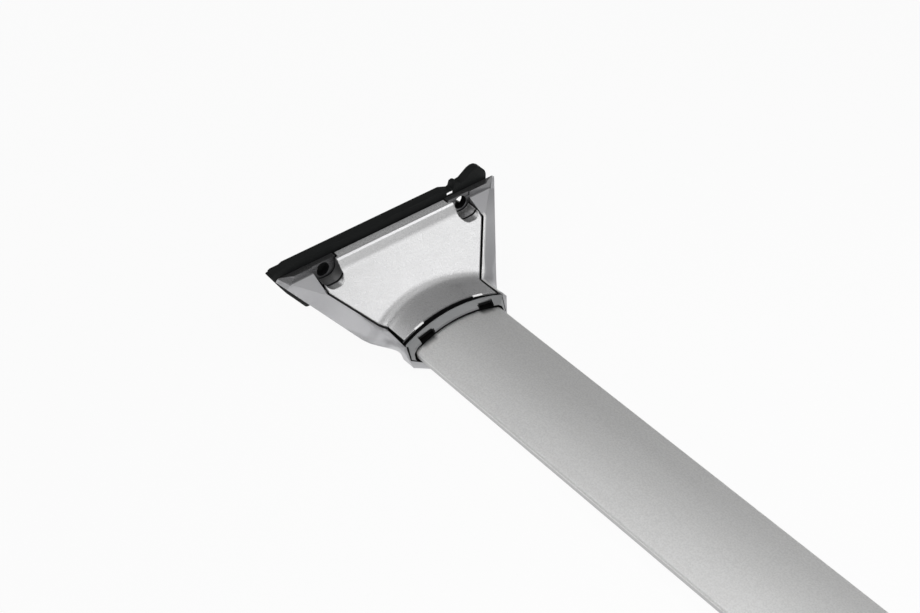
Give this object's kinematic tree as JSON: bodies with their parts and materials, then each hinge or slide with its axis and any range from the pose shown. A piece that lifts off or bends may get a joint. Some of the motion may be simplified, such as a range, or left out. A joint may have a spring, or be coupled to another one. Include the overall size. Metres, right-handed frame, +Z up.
{
  "type": "roof rack crossbar",
  "caption": "Straight hollow aluminium roof bar with a crowned top; a flared cast foot at each end, covered by a sloped silver lid, bolts through a rubber pad to a side rail.",
  "frame": {"origin": "on the floor under the middle of the bar", "axes": "+X along the bar, +Z up, +Y across the bar"},
  "size_m": [1.02, 0.1814, 0.069],
  "materials": {
    "anodised_bar": "satin anodised extrusion",
    "cast_silver": "silver paint on a die casting",
    "cover_silver": "silver paint, satin",
    "collar_silver": "silver paint, satin",
    "black_rubber": "matte black rubber",
    "zinc_steel": "zinc plated steel"
  },
  "bodies": {
    "root": {"crossbar": "anodised_bar", "left_foot_casting": "cast_silver", "left_foot_cover": "cover_silver", "left_bar_collar": "collar_silver", "left_rail_gasket": "black_rubber", "left_bar_sleeve": "black_rubber", "left_nut_plate": "zinc_steel", "left_bar_screw_inner": "zinc_steel", "left_bar_screw_outer": "zinc_steel", "left_cover_screw_front": "zinc_steel", "left_cover_screw_rear": "zinc_steel", "right_foot_casting": "cast_silver", "right_foot_cover": "cover_silver", "right_bar_collar": "collar_silver", "right_rail_gasket": "black_rubber", "right_bar_sleeve": "black_rubber", "right_nut_plate": "zinc_steel", "right_bar_screw_inner": "zinc_steel", "right_bar_screw_outer": "zinc_steel", "right_cover_screw_front": "zinc_steel", "right_cover_screw_rear": "zinc_steel"}
  },
  "joints": []
}
